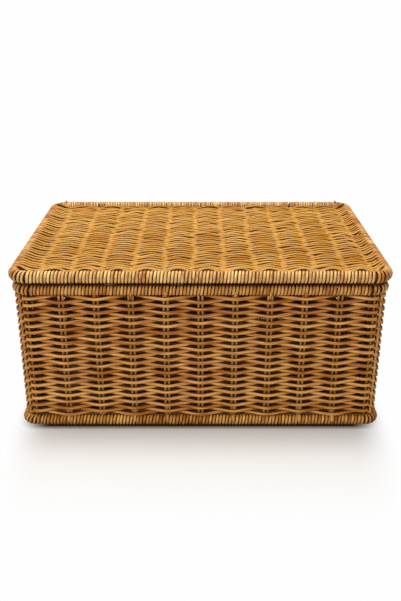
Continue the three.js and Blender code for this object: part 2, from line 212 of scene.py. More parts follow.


# %% [markdown]
# ## What cane looks like
#
# Peeled rattan is straw-yellow to honey-brown. Fine fibres run along it, and its tone drifts along each
# strand and differs from one strand to the next, with a pink cast here and there. `Bands` adds shorter
# patches of light and dark. Where canes press together the light hardly gets in, so there the colour is
# painted shade: a deep red-brown without any gloss.
#
# All of that is one shader node group. It reads four attributes of the strands: `fibre` runs along the
# strand and round it, `strand` is a random number for each strand, `open` is 1 on the side that faces the
# open air and falls towards 0 in a crevice, where the group paints shade, and `dull` paints
# some stretches a shade darker and makes them less glossy. The group puts out only colours and values. The
# Principled BSDF stays in the material.

# %% The cane shader group
CANE_INPUTS = {
    "Pale": (0.66, 0.43, 0.17, 1),
    "Deep": (0.33, 0.15, 0.035, 1),
    "Pink": (0.52, 0.23, 0.10, 1),
    "Variety": 1.0,
    "Bands": 0.5,
    "Crevice shade": 0.85,
}
CANE_OUTPUTS = {"Colour": tuple, "Roughness": float, "Height": float, "Gloss": float}
# The colour of the painted shade in crevices.
CREVICE_SHADE_COLOUR = (0.098, 0.019, 0.0004, 1)
STREAKS, DRIFT = (45.0, 2.6, 2.6), (38.0, 0.25, 0.25)
BANDS, CAST = (50.0, 1.3, 1.3), (24.0, 0.2, 0.2)

cane_group = bpy.data.node_groups.new("Cane", "ShaderNodeTree")
new_inputs(cane_group, CANE_INPUTS)
for title, kind in CANE_OUTPUTS.items():
    cane_group.interface.new_socket(title, in_out="OUTPUT", socket_type=SOCKETS[kind])

given = given_to(cane_group)
fibre = add(cane_group, "ShaderNodeAttribute", out="Vector", attribute_name="fibre")
strand, open_way, dull = [add(cane_group, "ShaderNodeAttribute", out="Fac", attribute_name=name)
                          for name in ("strand", "open", "dull")]
streaks = noise(fibre * STREAKS, 1.0, 3.0)
drift, bands, cast = [noise(fibre * scale, 1.0, 1.0) for scale in (DRIFT, BANDS, CAST)]
tone = ((strand - 0.5) * 0.7 + (drift - 0.5) * 1.3) * given["Variety"]
# The last term is painted shade that some stretches carry, and it also takes away their gloss.
tone = tone + (streaks - 0.5) * 1.25 + (bands - 0.5) * given["Bands"] + 0.5 - dull
wood = mix(ramp(tone, 0.0, 1.0), given["Deep"], given["Pale"], "RGBA")
wood = mix(ramp(cast, 0.55, 0.72, 0.0, 0.55) * given["Variety"], wood, given["Pink"], "RGBA")
# Painted shade: where a spot is little open to the air, the colour turns to the crevice shade and the gloss
# goes.
closed = ramp(open_way, 0.75, 0.1) * given["Crevice shade"]
add(cane_group, "NodeGroupOutput", {
    "Colour": mix(closed, wood, CREVICE_SHADE_COLOUR, "RGBA"),
    "Roughness": ramp(streaks, 0.3, 0.7, 0.38, 0.62),
    "Height": streaks,
    "Gloss": ramp(dull, 0.0, 0.25, 1.0, 0.1) * ramp(closed, 0.1, 0.6, 1.0, 0.0),
})
print("shader group", cane_group.name, "with", len(cane_group.nodes), "nodes")

# %% [markdown]
# ## One material for each use
#
# Each material gives the cane group a colour for the palest tone and one for the deepest, and adds a
# Principled BSDF with the fibres as a fine bump. The cane round the lid is the palest and is varnished,
# which the coat shows. The rim is browner, the foot and the walls have stronger bands, and the lid's weave
# is an even honey colour. The hidden hoops are plain and dark. The ribs and the base share a darker cane,
# which paints shade into the inside of the box.

# %% Materials
def cane_material(name, pale, deep, coat=0.15, **values):
    """A Principled material that takes colour, roughness, fibre height and gloss from the cane group."""
    material = bpy.data.materials.new(name)
    tree = empty_tree(material)
    inputs = {"Pale": (*pale, 1), "Deep": (*deep, 1), **values}
    colour, roughness, height, gloss = add(tree, "ShaderNodeGroup", inputs, tuple(CANE_OUTPUTS),
                                           node_tree=cane_group)
    relief = add(tree, "ShaderNodeBump", {"Strength": 0.25, "Distance": 0.0004, "Height": height})
    shader = add(tree, "ShaderNodeBsdfPrincipled", {
        "Base Color": colour, "Roughness": roughness, "Normal": relief, "IOR": 1.45,
        "Specular IOR Level": 0.22, "Coat Weight": gloss * coat, "Coat Roughness": 0.25,
    })
    add(tree, "ShaderNodeOutputMaterial", {"Surface": shader})
    return material


CANES = {
    "lid_wrap": ((0.97, 0.65, 0.22), (0.37, 0.108, 0.002), {"coat": 0.9, "Crevice shade": 1.4}),
    "rim_wrap": ((0.80, 0.44, 0.12), (0.36, 0.105, 0.003), {"Crevice shade": 1.5}),
    "foot_wrap": ((0.85, 0.445, 0.105), (0.28, 0.074, 0.0015), {"Crevice shade": 1.6, "Bands": 1.5}),
    "core_cane": ((0.16, 0.07, 0.015), (0.07, 0.025, 0.004), {"Variety": 0.6}),
    "stake_cane": ((0.74, 0.40, 0.12), (0.34, 0.15, 0.025), {"Variety": 0.8}),
    "wall_cane": ((0.76, 0.40, 0.105), (0.35, 0.095, 0.002), {"coat": 0.2, "Crevice shade": 1.1, "Bands": 2.4}),
    "lid_cane": ((0.68, 0.378, 0.072), (0.42, 0.160, 0.0045), {"coat": 0.08, "Crevice shade": 0.9}),
    # Painted shade: the base and the ribs are darker than the walls' cane, so the inside of the box looks
    # shaded.
    "base_cane": ((0.46, 0.205, 0.035), (0.25, 0.086, 0.005), {}),
    "lashing_cane": ((0.64, 0.36, 0.10), (0.36, 0.15, 0.02), {}),
}
MATERIALS = {name: cane_material(name, pale, deep, **values) for name, (pale, deep, values) in CANES.items()}
print(len(MATERIALS), "cane materials")

# %% [markdown]
# ## Trees that grow geometry
#
# Geometry trees need a few helpers of their own. A value such as a tangent is worked out from the curve as
# it is at that moment, so it is captured before the curve moves. What a later tree or a shader needs is
# stored under a name.

# %% Helpers for geometry trees
def new_tree(name, sizes):
    """A geometry tree with a Geometry socket at both ends, one input for each size, and a Material."""
    tree = bpy.data.node_groups.new(name, "GeometryNodeTree")
    tree.interface.new_socket("Geometry", in_out="INPUT", socket_type="NodeSocketGeometry")
    new_inputs(tree, sizes)
    tree.interface.new_socket("Material", in_out="INPUT", socket_type="NodeSocketMaterial")
    tree.interface.new_socket("Geometry", in_out="OUTPUT", socket_type="NodeSocketGeometry")
    return tree, given_to(tree)


def end_tree(geometry, material):
    """Ends a tree: instances are made real and the material is set."""
    tree = tree_of(geometry)
    real = add(tree, "GeometryNodeRealizeInstances", {0: geometry})
    add(tree, "NodeGroupOutput", {0: add(tree, "GeometryNodeSetMaterial", {0: real, "Material": material})})
    print("tree", tree.name, "with", len(tree.nodes), "nodes")


def capture(geometry, value, domain="POINT"):
    """Keeps a value on the geometry while what it was measured on changes."""
    tree = tree_of(geometry)
    node = tree.nodes.new("GeometryNodeCaptureAttribute")
    node.domain = domain
    node.capture_items.new("VECTOR" if value.is_vector else "FLOAT", "kept")
    tree.links.new(geometry.socket, node.inputs[0])
    tree.links.new(value.socket, node.inputs[1])
    return Value(node.outputs[0]), Value(node.outputs[1])


def store(geometry, **values):
    """Stores values on every point, under names that another tree or a shader can read."""
    for name, value in values.items():
        kind = "FLOAT_VECTOR" if isinstance(value, tuple) or value.is_vector else "FLOAT"
        inputs = {0: geometry, "Name": name, "Value": value}
        geometry = add(tree_of(geometry), "GeometryNodeStoreNamedAttribute", inputs, data_type=kind)
    return geometry


def attribute(tree, name, kind="FLOAT", out=0):
    """Reads a named attribute of the geometry. Its second output tells whether it is there at all."""
    return add(tree, "GeometryNodeInputNamedAttribute", {"Name": name}, out, data_type=kind)


def move(geometry, **place):
    """Moves every point to a Position or by an Offset."""
    return add(tree_of(geometry), "GeometryNodeSetPosition", {0: geometry, **place})


# %% [markdown]
# ## A strand as a node tree
#
# A strand is a round tube: the Curve to Mesh node sweeps a circle along a curve. What makes it cane is what
# travels with it. Before the sweep, the length along the curve, a random number for each strand and the
# place on the circle are captured. After it they are stored as the attributes that the shader reads. The
# thickness swells and shrinks a little along the way, because real cane is never even.

# %% The strand tree
STRAND_SIZES = {"Radius": 0.0017, "Sides": 8, "Unevenness": 0.12, "Flatness": 1.0, "Seed": 1}
strand_tree, given = new_tree("Strand", STRAND_SIZES)
length = add(strand_tree, "GeometryNodeSplineParameter", out="Length")
rail, along = capture(given["Geometry"], length)
lot = add(strand_tree, "FunctionNodeRandomValue", {"Seed": given["Seed"]}, 1, data_type="FLOAT")
rail, tone = capture(rail, lot, "CURVE")

circle = add(strand_tree, "GeometryNodeCurvePrimitiveCircle", {"Resolution": given["Sides"], "Radius": 1.0})
place = add(strand_tree, "GeometryNodeInputPosition")
profile, around = capture(circle, place)
profile = move(profile, Position=place * vector(1.0, given["Flatness"], 1.0))

swell = noise(vector(along, tone * 70.0, given["Seed"]), 60.0) - 0.5
thickness = (swell * 2.0 * given["Unevenness"] + 1.0) * given["Radius"]
tube = add(strand_tree, "GeometryNodeCurveToMesh",
           {"Curve": rail, "Profile Curve": profile, "Scale": thickness, "Fill Caps": True})
tube = add(strand_tree, "GeometryNodeSetShadeSmooth", {0: tube})
across, upward, _ = split(around)
tube = store(tube, fibre=vector(tone * 90.0 + along, across, upward), strand=tone)

# %% [markdown]
# The rest of the tree works out `open`, how much of the air a spot on the strand faces. The cane shader
# paints shade where it is low. The other trees store two things on their lines: `away`, the direction out
# of the weave or off the bar, and `side`, which is 1 where the strand passes on that side and -1 where it
# dives behind. A strand's flanks are closed, because its neighbours press against them. A strand that
# passes behind is dimmer on the side you look at, and the half that faces inwards gets half the light.
# Strands without `away` stand free and are open all round.

# %% How open each spot of a strand is
# How open a spot is decides how much painted shade the cane shader puts on it.
away, in_a_weave = attribute(strand_tree, "away", "FLOAT_VECTOR", (0, 1))
facing = vectors("DOT_PRODUCT", add(strand_tree, "GeometryNodeInputNormal"), away)
near_side = attribute(strand_tree, "side") * maths("SIGN", facing)
lit = ramp(near_side, -1.0, 0.2, 0.3, 1.0) * ramp(facing, -0.1, 0.1, 0.5, 1.0)
openness = maths("MAXIMUM", abs(facing) * lit, 1.0 - in_a_weave)
end_tree(store(tube, open=openness), given["Material"])


def sweep(line, given, **changes):
    """Makes strands of lines inside another tree, with sizes that the tree was given or changes to them."""
    sizes = {title: given[title] for title in (*STRAND_SIZES, "Material") if title in given}
    return add(tree_of(line), "GeometryNodeGroup", {"Geometry": line, **sizes, **changes},
               node_tree=strand_tree)


# %% [markdown]
# ## From a path to a piece
#
# A path is a mesh with only points and edges. Attributes such as an outward direction can ride on its
# points, which an ordinary Blender curve can't carry. `grow` puts a tree on a path, keeps the result as a
# plain mesh and throws the path away. The piece sits at the origin and rides on a body of the frame.

# %% Paths and pieces
def path_mesh(lines, closed=False, **attributes):
    """A mesh of polylines. Each attribute has a value for every point."""
    points, edges = [], []
    for line in lines:
        first = len(points)
        points += [tuple(p) for p in line]
        edges += [(i, i + 1) for i in range(first, len(points) - 1)]
        if closed:
            edges.append((len(points) - 1, first))
    mesh = bpy.data.meshes.new("path")
    mesh.from_pydata(points, edges, [])
    for title, values in attributes.items():
        values = np.asarray(values, np.float32)
        kind, key = ("FLOAT_VECTOR", "vector") if values.ndim == 2 else ("FLOAT", "value")
        mesh.attributes.new(title, kind, "POINT").data.foreach_set(key, values.ravel())
    return mesh


def grow(name, path, tree, sizes, body, slot, replaced=()):
    """Runs a tree on a path and keeps the result as a plain piece that rides on a body."""
    carrier = new_object(name + "_path", path)
    modifier = carrier.modifiers.new("grow", "NODES")
    modifier.node_group = tree
    values = {**sizes, "Material": MATERIALS[slot]}
    for item in tree.interface.items_tree:
        if item.in_out == "INPUT" and item.name in values:
            modifier[item.identifier] = values[item.name]
    evaluated = carrier.evaluated_get(bpy.context.evaluated_depsgraph_get())
    piece = new_object(name, bpy.data.meshes.new_from_object(evaluated))
    bpy.data.objects.remove(carrier)
    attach(piece, body)
    if replaced:
        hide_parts(*replaced)
    triangles = sum(len(face.vertices) - 2 for face in piece.data.polygons)
    print(f"{name}: {triangles} triangles")


# %% [markdown]
# ## The hoops: what their paths are
#
# Three hoops of thick cane carry the box: at the foot, at the rim and round the lid. Each is a rounded
# rectangle, and a place on it is told by its distance round it from the middle of the back. A bar's radius
# and half lengths are measured on the CAD solid of its wrapping. The corner's outer radius is given,
# because the solid's box can't tell it.

# %% Rings and bars
BAR_CORNER = 0.0225
ARC_STEPS = 24


def ring(half_x, half_y, corner):
    """Points, outward directions and distances round a rounded rectangle, from the middle of the back."""
    sides = np.repeat([(1, 1), (1, -1), (-1, -1), (-1, 1)], ARC_STEPS + 1, axis=0)
    quarters = np.arange(4)[:, None] + np.arange(ARC_STEPS + 1) / ARC_STEPS
    angles = math.pi / 2 * (1 - quarters.ravel())
    outs = np.column_stack([np.cos(angles), np.sin(angles)])
    points = sides * [half_x - corner, half_y - corner] + corner * outs
    points, outs = np.vstack([(0, half_y), points, (0, half_y)]), np.vstack([(0, 1), outs, (0, 1)])
    distances = np.concatenate([[0], np.cumsum(np.linalg.norm(np.diff(points, axis=0), axis=1))])
    return points, outs, distances


def on_ring(path, distances):
    """Points and outward directions at these distances round a ring. A negative one counts backwards."""
    points, outs, known = path
    wrapped = np.mod(distances, known[-1])
    at = [np.interp(wrapped, known, column) for column in (*points.T, *outs.T)]
    return np.stack(at[:2], axis=1), np.stack(at[2:], axis=1)


class Bar:
    """A wrapped hoop: its bar's radius, its height and its centre line, measured on the CAD solid."""

    def __init__(self, title, corner=BAR_CORNER, spread=0.0):
        low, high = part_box(f"{title}_wrapping")
        self.title = title
        self.body = "lid" if title == "lid" else "basket"
        self.radius = (high.z - low.z) / 2
        self.z = (high.z + low.z) / 2
        self.half_x = high.x - self.radius + spread
        self.half_y = -low.y - self.radius + spread
        self.corner = corner - self.radius
        self.ring = ring(self.half_x, self.half_y, self.corner)
        self.length = self.ring[2][-1]

    def line(self, start=0.0, end=None, step=0.001):
        """Points along the centre line between two distances from the middle of the back."""
        end = self.length if end is None else end
        places = np.linspace(start, end, max(2, round((end - start) / step)))
        flat, _ = on_ring(self.ring, places)
        return np.column_stack([flat, np.full(len(flat), self.z)])


# %% [markdown]
# Two hoops follow the photograph more closely than the solids do. The rim's bar is a little thinner, by
# half of `RIM_GAP` in radius, which gives the line of shadow under the lid its width. And the foot turns
# its corners more tightly than the lid and stands out a little further.

# %% Hoops measured on the frame
RIM_GAP = 0.0014
FOOT_CORNER = 0.0185
FOOT_SPREAD = 0.0008

foot_bar, rim_bar, lid_bar = Bar("foot", FOOT_CORNER, FOOT_SPREAD), Bar("rim"), Bar("lid")
rim_bar.radius -= RIM_GAP / 2
rim_bar.z -= RIM_GAP / 2
for bar in (foot_bar, rim_bar, lid_bar):
    print(f"{bar.title}: radius {bar.radius * 1000:.1f} mm, round the ring {bar.length * 1000:.0f} mm")

# %% [markdown]
# ## Wrapping a hoop
#
# The wrapping is one strand wound round the bar turn against turn. The bar's path is resampled to a fixed
# number of points for each turn, and each point is moved off the path at an angle that grows steadily.
# The direction towards the inside of the hoop comes from the path's own tangent, so the turns fan out
# round the corners by themselves, as on the real box.
#
# A path carries `fineness`, a factor for both the strand's thickness and its pitch. Some faces of a bar
# lie in the dark, and the wrapping paints shade on them. `Dim side` paints shade on the top of a bar with 1
# and on its underside with -1. On the left and right bars `Side shade` paints shade on the inner half, and
# `Side shade and dullness` paints the cane a shade darker and less glossy.

# %% The wrapping tree: the helix
WRAP_STRAND = 0.0034
WRAP_PITCH = 0.0036
WRAP_STEPS = 14

wrap_tree, given = new_tree("Wrapping", {
    "Bar radius": 0.0065, "Radius": WRAP_STRAND / 2, "Pitch": WRAP_PITCH, "Steps per turn": WRAP_STEPS,
    "Sides": 7, "Jitter": 0.0005, "Dim side": -1.0, "Side tone": 0.0, "Side shade": 0.0, "Seed": 1,
})
fineness = attribute(wrap_tree, "fineness")
radius = given["Radius"] * fineness
bar_line = add(wrap_tree, "GeometryNodeMeshToCurve", {0: given["Geometry"]})
length = add(wrap_tree, "GeometryNodeSplineLength", out="Length")
turns = maths("ROUND", length / (given["Pitch"] * fineness))
line = add(wrap_tree, "GeometryNodeResampleCurve", {0: bar_line, "Count": turns * given["Steps per turn"]})
turn = add(wrap_tree, "GeometryNodeInputIndex") / given["Steps per turn"]
angle = turn * (2 * math.pi)
inwards, upwards = maths("COSINE", angle), maths("SINE", angle)

tangent = add(wrap_tree, "GeometryNodeInputTangent")
inner = vectors("NORMALIZE", vectors("CROSS_PRODUCT", tangent, (0, 0, 1)))
shake = noise(vector(turn, given["Seed"]), 1.3) - 0.5
reach = shake * given["Jitter"] + (given["Bar radius"] - radius)
slip = tangent * (shake * (given["Jitter"] * 3.0))
line, offset = capture(line, inner * (reach * inwards) + vector(z=reach * upwards))

# Painted shade on the left and right bars: darker and less glossy, and darker still on the inner half.
at_side = abs(split(tangent)[1])
line = store(line, dull=at_side * given["Side tone"])
line, shaded = capture(line, ramp(inwards, -0.1, 0.45) * (at_side * given["Side shade"]))
helix = move(line, Offset=offset + slip)
away = vectors("NORMALIZE", offset)
# Painted shade on the top of a bar or on its underside.
dim = ramp(split(away)[2] * given["Dim side"], 0.35, 0.95, 1.0, -0.7)
helix = store(helix, away=away, side=dim - shaded)

# %% [markdown]
# Every turn has a tone of its own in place of the strand's random number. Part of it is drawn afresh for
# each turn. The rest is slow noise, so stretches of ten turns or so are lighter or darker together.

# %% The wrapping tree: the tone of each turn
OWN_SHARE = 0.6
STRETCH_SHARE = 1.9
STRETCH_SCALE = 0.11

whole_turn = maths("FLOOR", turn + 0.5)
turn_lot = add(wrap_tree, "FunctionNodeRandomValue", {"ID": whole_turn, "Seed": given["Seed"]}, 1,
               data_type="FLOAT")
stretch = noise(vector(turn, z=given["Seed"]), STRETCH_SCALE) - 0.5
turn_tone = stretch * STRETCH_SHARE + (turn_lot * OWN_SHARE + (0.5 - OWN_SHARE / 2))
wound = sweep(store(helix, turn_tone=turn_tone), given, Radius=radius, Unevenness=0.1)
end_tree(store(wound, strand=attribute(wrap_tree, "turn_tone")), given["Material"])

# %% [markdown]
# At the back the wrapping leaves two short lengths bare for the hinge lashings, so rim and lid each have
# a long strand and a short one. How much is bare is measured on the lashings' solids, and the wrapping
# runs on a little under them. The winding starts anew twice at each front corner of rim and lid, and once
# at each back corner of the lid, which leaves small breaks. Their places are shares of the corner's arc.
# Along the lid's back bar the cane is finer.
#
# The lid's bar has painted shade underneath, where it lies over the rim, and the rim's bar has painted
# shade on top. The side bars of the lid get painted shade on their inner half, because the ends of the
# rows climb against them there, and are painted a shade darker and less glossy all along.

# %% Wrap the three hoops
BREAK = 0.0013
FRONT_BREAKS = (0.36, 0.06)
BACK_BREAK = 0.45
OVERRUN = 0.0015
BACK_FINENESS = 0.63
left_low, left_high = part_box("hinge_lashing_left")
right_low, right_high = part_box("hinge_lashing_right")


def wrap(bar, start, end, seed, breaks=(), part="wrapping"):
    """Wraps a bar between two distances from the middle of the back, with a small gap at each break."""
    node = f"{bar.title}_{part}"
    stops = [start, *[stop for middle in breaks for stop in (middle - BREAK / 2, middle + BREAK / 2)], end]
    lines = [bar.line(*stops[i:i + 2]) for i in range(0, len(stops), 2)]
    at_back = [bar is lid_bar and line[:, 1].mean() > 0.9 * bar.half_y for line in lines]
    fineness = np.repeat(np.where(at_back, BACK_FINENESS, 1.0), [len(line) for line in lines])
    sizes = {"Bar radius": bar.radius, "Seed": seed, "Dim side": 1.0 if bar is rim_bar else -1.0}
    # The lid's side bars get painted shade and less gloss.
    if bar is lid_bar:
        sizes.update({"Side tone": 0.25, "Side shade": 1.8})
    grow(f"{node}_cane", path_mesh(lines, fineness=fineness), wrap_tree, sizes,
         bar.body, f"{bar.title}_wrap", [node])


wrap(foot_bar, 0, foot_bar.length, 3)
for seed, bar in enumerate((rim_bar, lid_bar)):
    corner = BAR_CORNER - bar.radius
    arc, straight = math.pi / 2 * corner, bar.half_x - corner
    gaps = [bar.length / 2 - straight - arc * share for share in FRONT_BREAKS]
    gaps = [straight + arc * BACK_BREAK, *gaps] if bar is lid_bar else gaps
    gaps += [bar.length - gap for gap in gaps[::-1]]
    wrap(bar, right_high.x - OVERRUN, bar.length + left_low.x + OVERRUN, 11 + seed, gaps)
    wrap(bar, left_high.x - OVERRUN, right_low.x + OVERRUN, 21 + seed, part="wrapping_back")

# %% [markdown]
# ## Rods: the hoops' cores, the ribs and the stakes
#
# The rest of the frame is plain sticks. The hoops under the wrapping are round, the ribs of lid and base
# are flat, and each stake pair is one cane bent double at the foot. They all use one tree, which lets a
# path wander a little before it becomes a strand.

# %% The rod tree
rod_tree, given = new_tree("Rod", {**STRAND_SIZES, "Wander": 0.0002})
line = add(rod_tree, "GeometryNodeMeshToCurve", {0: given["Geometry"]})
place = add(rod_tree, "GeometryNodeInputPosition")
cloud = add(rod_tree, "ShaderNodeTexNoise", {"Vector": place, "Scale": 25.0}, 1)
line = move(line, Offset=vectors("SUBTRACT", cloud, (0.5, 0.5, 0.5)) * given["Wander"])
end_tree(sweep(line, given), given["Material"])

# %% [markdown]
# The cores are hidden except between the lashings, so they can have few sides. Their radius is what the
# wrapping leaves free.

# %% Cores of the hoops
CORE_STEP = 0.006

for bar in (foot_bar, rim_bar, lid_bar):
    path = path_mesh([bar.line(step=CORE_STEP)[:-1]], closed=True)
    sizes = {"Radius": bar.radius - WRAP_STRAND, "Sides": 10, "Unevenness": 0.04}
    grow(f"{bar.title}_hoop_cane", path, rod_tree, sizes, bar.body, "core_cane",
         ["rim_hoop"] if bar is rim_bar else ())

# %% [markdown]
# ## The stakes
#
# The stakes come from the CAD solids too. A pair's solid has eight corners at its top, four for each leg.
# Splitting them along the pair's longest direction gives the middle of each leg, and the lowest points
# give the foot. The path runs down one leg, round a small bend inside the foot's hoop and up the other.
#
# The pair at each corner stands astride it, so a single third stake goes between its legs and a little
# further out, where the wall is roundest.

# %% Stake pairs
STAKE_RADIUS = 0.0013
BEND_STEPS = 5
LEG_STEPS = 12
CORNER_BULGE = 0.0032
SAME_HEIGHT = 1e-4


def solid_points(node):
    """The corners of a CAD solid, each once."""
    points = np.array([v.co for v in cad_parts[node].data.vertices])
    return np.unique(points.round(6), axis=0)


def legs(node):
    """The middle of a stake pair at its top and at its foot, and half the step from one leg to the other."""
    points = solid_points(node)
    top = points[points[:, 2] > points[:, 2].max() - SAME_HEIGHT]
    foot = points[points[:, 2] < points[:, 2].min() + SAME_HEIGHT]
    middle = top.mean(axis=0)
    across = top[np.argmax(np.linalg.norm(top - middle, axis=1))] - middle
    one = top[(top - middle) @ across > 0].mean(axis=0)
    return middle, foot.mean(axis=0), one - middle


def stake_line(node):
    """The path of one stake pair."""
    top, foot, half = legs(node)
    reach = np.linalg.norm(half)
    bottom = foot + [0, 0, STAKE_RADIUS]
    turned = np.linspace(0, math.pi, BEND_STEPS)[:, None]
    bend = bottom + half * np.cos(turned) - [0, 0, reach] * np.sin(turned)
    down = np.linspace(top + half, bottom + half, LEG_STEPS)[:-1]
    up = np.linspace(bottom - half, top - half, LEG_STEPS)[1:]
    return [*down, *bend, *up]


def corner_stake(node):
    """The path of the third stake in a corner."""
    top, foot, _ = legs(node)
    return np.linspace(foot, top, LEG_STEPS) + [*np.sign(top[:2]) * CORNER_BULGE, 0]


stake_nodes = sorted(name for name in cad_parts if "stakes" in name)
side_stakes = [name for name in stake_nodes if not name.startswith("corner")]
lines = [stake_line(node) for node in stake_nodes]
lines += [corner_stake(node) for node in stake_nodes if node not in side_stakes]
grow("stake_pairs", path_mesh(lines), rod_tree,
     {"Radius": STAKE_RADIUS, "Sides": 8, "Unevenness": 0.06, "Wander": 0.0006},
     "basket", "stake_cane", stake_nodes)

# %% [markdown]
# ## The woven walls
#
# This is the heart of the box. A row of weaving passes in front of one stake pair and behind the next, and
# the row above it does the opposite. So if the stakes are counted round the box as 0, 1, 2 and so on, the
# distance of row r from the stakes is the cosine of half a turn times the count plus r.
#
# The path carries that count as the attribute `column`, rising evenly from one stake to the next. Each
# corner counts as three columns, its two legs and the third stake between them, which makes the quick
# zigzag there. The path also carries the outward direction, and the same point at the foot, because the
# box narrows downwards. The number of columns has to be even, or the end of a row would not meet its start.

# %% The path round the stakes
WALL_CORNER = 0.016
WALL_STEPS = 7
SEARCH_STEP = 0.0002

columns = []
for node in stake_nodes:
    top, foot, half = legs(node)
    columns += [top] if node in side_stakes else [top + half, top, top - half]
stake_top = max(point[2] for point in columns)
stake_foot = legs("front_stakes_1")[1][2]
(wall_x, _, _), (foot_x, _, _), _ = legs("right_stakes_4")
(_, wall_y, _), (_, foot_y, _), _ = legs("back_stakes_5")
wall_ring = ring(wall_x, wall_y, WALL_CORNER)

sampled = np.arange(0, wall_ring[2][-1], SEARCH_STEP)
sampled_points, _ = on_ring(wall_ring, sampled)
distances = sorted(sampled[np.argmin(np.linalg.norm(sampled_points - point[:2], axis=1))]
                   for point in columns)
print(len(distances), "columns of stakes round the box")

stops = np.array(distances + [distances[0] + wall_ring[2][-1]])
counts = np.arange(len(distances) * WALL_STEPS) / WALL_STEPS
places, outs = on_ring(wall_ring, np.interp(counts, np.arange(len(stops)), stops))
round_box = np.column_stack([places, np.zeros(len(places))])
at_foot = round_box * [foot_x / wall_x, foot_y / wall_y, 1]
wall_path = path_mesh([round_box], closed=True, column=counts, foot=at_foot,
                      out=np.column_stack([outs, np.zeros(len(outs))]))

# %% [markdown]
# Walls, lid and base are woven by the same rule, so they share three helpers. One copies the path once for
# each row. One is the cosine. The last keeps the cosine small for longer near its middle, because rows
# that cross lie together over more of the way than a plain cosine has them.

# %% What every weave needs
STEEPNESS = 1.4


def copied_rows(tree, given):
    """Copies the path once for each row: the rows, each one's number and its share of the way up."""
    line = add(tree, "GeometryNodeMeshToCurve", {0: given["Geometry"]})
    rows, row = add(tree, "GeometryNodeDuplicateElements", {0: line, "Amount": given["Rows"]},
                    ("Geometry", "Duplicate Index"), domain="SPLINE")
    return rows, row, row / (given["Rows"] - 1.0)


def swing(column, row):
    """The cosine that takes a strand to one side of a column and to the other side of the next."""
    return maths("COSINE", (column + row) * math.pi)


def steeper(wave):
    """Keeps a wave longer near its middle."""
    return abs(wave) ** STEEPNESS * maths("SIGN", wave)


# %% [markdown]
# The wall's tree moves the copies up, leans them between the foot's ring and the rim's, and swings each of
# them in and out. The strands also wander up and down a little, each in its own way. And they dip: a
# strand lies a little lower where it passes in front of a stake and higher where it passes behind. So the
# front of one row covers the slit between the rows behind it, and hardly any daylight shows through.

# %% The wall tree
WALL_ROWS = 36
WALL_STRAND = 0.0041

wall_tree, given = new_tree("Wall", {
    "Rows": WALL_ROWS, "Bottom": 0.015, "Top": 0.149, "Foot": 0.01, "Stake top": 0.15, "Swing": 0.003,
    "Radius": WALL_STRAND / 2, "Sides": 8, "Wander": 0.0004, "Dip": 0.0012, "Seed": 1,
})
rows, row, share = copied_rows(wall_tree, given)
height = mix(share, given["Bottom"], given["Top"])
lean = ramp(height, given["Foot"], given["Stake top"])
place = add(wall_tree, "GeometryNodeInputPosition")
base = mix(lean, attribute(wall_tree, "foot", "FLOAT_VECTOR"), place, "VECTOR")
column = attribute(wall_tree, "column")
out = attribute(wall_tree, "out", "FLOAT_VECTOR")
wander = noise(vector(column, row, given["Seed"]), 0.9) - 0.5
rows, side = capture(rows, steeper(swing(column, row)))
rise = wander * 2.0 * given["Wander"] + height - side * given["Dip"]
woven = move(rows, Position=base + out * (side * given["Swing"]) + vector(z=rise))
end_tree(sweep(store(woven, away=out, side=side), given), given["Material"])

# %% [markdown]
# The rows fill the wall from the top of the foot's bar to the top of the CAD weave. A row swings out just
# far enough to clear the stakes that it passes.

# %% Weave the walls
CLEARANCE = 0.0001
ABOVE_FOOT = 0.0006

weave_low, weave_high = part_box("front_weave")
grow("wall_weave", wall_path, wall_tree, {
    "Bottom": foot_bar.z + foot_bar.radius + WALL_STRAND / 2 + ABOVE_FOOT,
    "Top": weave_high.z - WALL_STRAND / 2,
    "Foot": stake_foot,
    "Stake top": stake_top,
    "Swing": STAKE_RADIUS + WALL_STRAND / 2 + CLEARANCE,
}, "basket", "wall_cane", ["front_weave", "back_weave", "left_weave", "right_weave"])

# %% [markdown]
# At foot and rim a short end of cane shows at most of the stakes: it comes out between the rows and bends
# over the bar. Each end is a rod too, whose path runs along the bar's surface and dives into the wrapping
# at its tip. Some stakes are left out at each bar, as in the photograph.

# %% Ends of cane at the stakes
TIE_RADIUS = 0.0014
TIE_STEPS = 9
DIVE_START = 0.7
DIVE_DEPTH = 4
FOOT_ANGLES, RIM_ANGLES = (100, 10), (-65, -15)
FOOT_START, RIM_START = 0.006, 0.004
TIE_SIZES = {"Radius": TIE_RADIUS, "Sides": 8, "Unevenness": 0.1}
OUTWARD = {"front": (0, -1), "back": (0, 1), "left": (-1, 0), "right": (1, 0)}


def tie(bar, node, place, angles, start_height):
    """A line from the wall over a bar: between two angles round the bar's surface, in degrees."""
    out = np.array(OUTWARD[node.split("_")[0]])
    middle = np.where(out == 0, place[:2], out * [bar.half_x, bar.half_y])
    share = np.linspace(0, 1, TIE_STEPS)[:, None]
    turned = np.radians(angles[0] + (angles[1] - angles[0]) * share)
    reach = bar.radius + TIE_RADIUS * (0.2 - DIVE_DEPTH * np.maximum(share - DIVE_START, 0))
    arc = np.hstack([middle + out * reach * np.cos(turned), bar.z + reach * np.sin(turned)])
    return [(*place[:2], start_height), *arc]


lines = [tie(foot_bar, name, legs(name)[1], FOOT_ANGLES, weave_low.z + FOOT_START)
         for number, name in enumerate(side_stakes) if number % 5 not in (1, 3)]
lines += [tie(rim_bar, name, legs(name)[0], RIM_ANGLES, weave_high.z - RIM_START)
          for number, name in enumerate(side_stakes) if number % 4 != 1]
grow("stake_ties", path_mesh(lines), rod_tree, {**TIE_SIZES, "Wander": 0.0005}, "basket", "wall_cane")

# %% [markdown]
# Two more ends stick up at the back of the lid, one near each corner.

